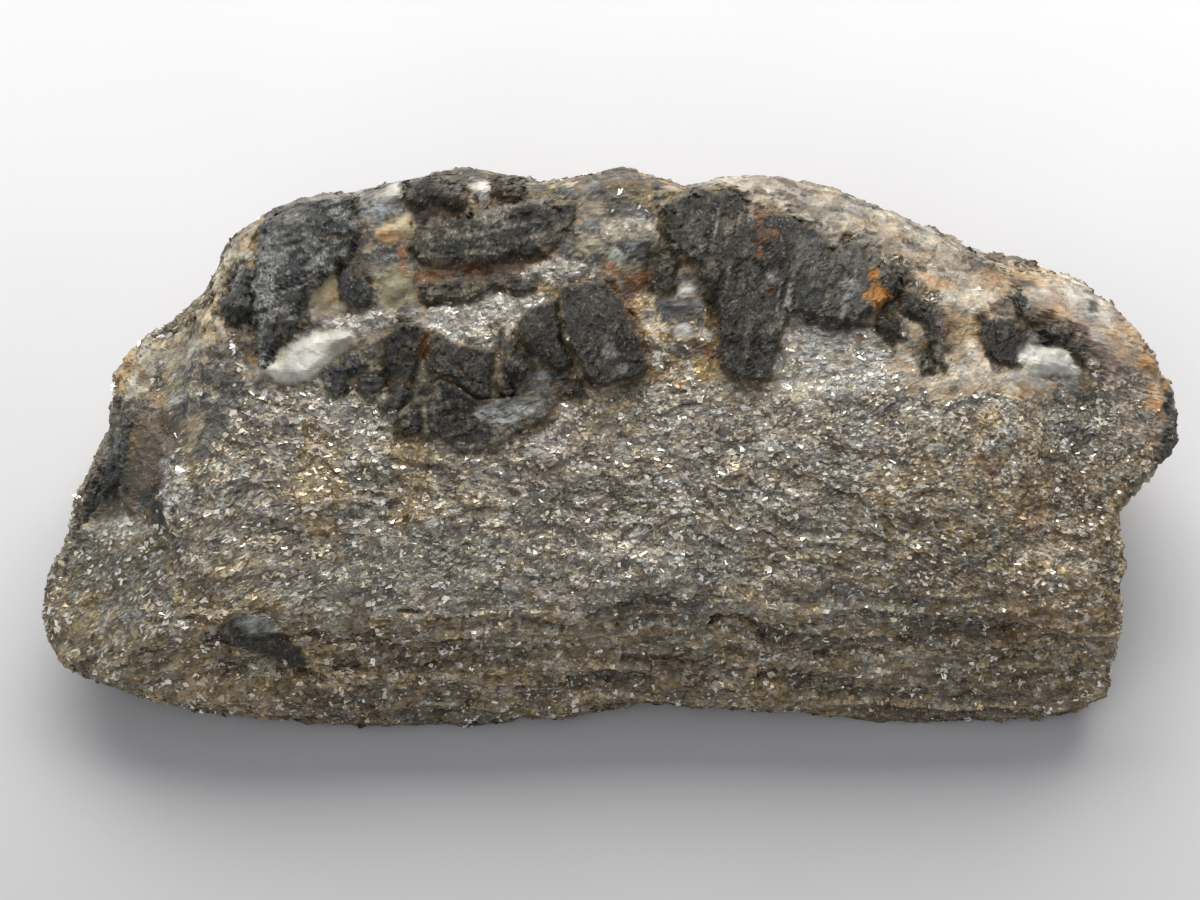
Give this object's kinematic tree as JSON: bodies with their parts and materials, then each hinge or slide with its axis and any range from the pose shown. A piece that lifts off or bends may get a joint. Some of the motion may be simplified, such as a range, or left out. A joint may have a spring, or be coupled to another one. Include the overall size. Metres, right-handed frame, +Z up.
{
  "type": "mica schist specimen",
  "caption": "Elongated hand specimen of glittering mica schist with black tourmaline and quartz in its leaning upper face, resting on a flat base.",
  "frame": {"origin": "centre of the specimen's footprint box, on the surface it rests on", "axes": "+X along the length, +Y from the low front wall toward the high back, +Z up"},
  "size_m": [0.12, 0.0579, 0.035],
  "materials": {
    "schist": "rough broken schist with glittering mica"
  },
  "bodies": {
    "root": {"mica_schist": "schist"}
  },
  "joints": []
}
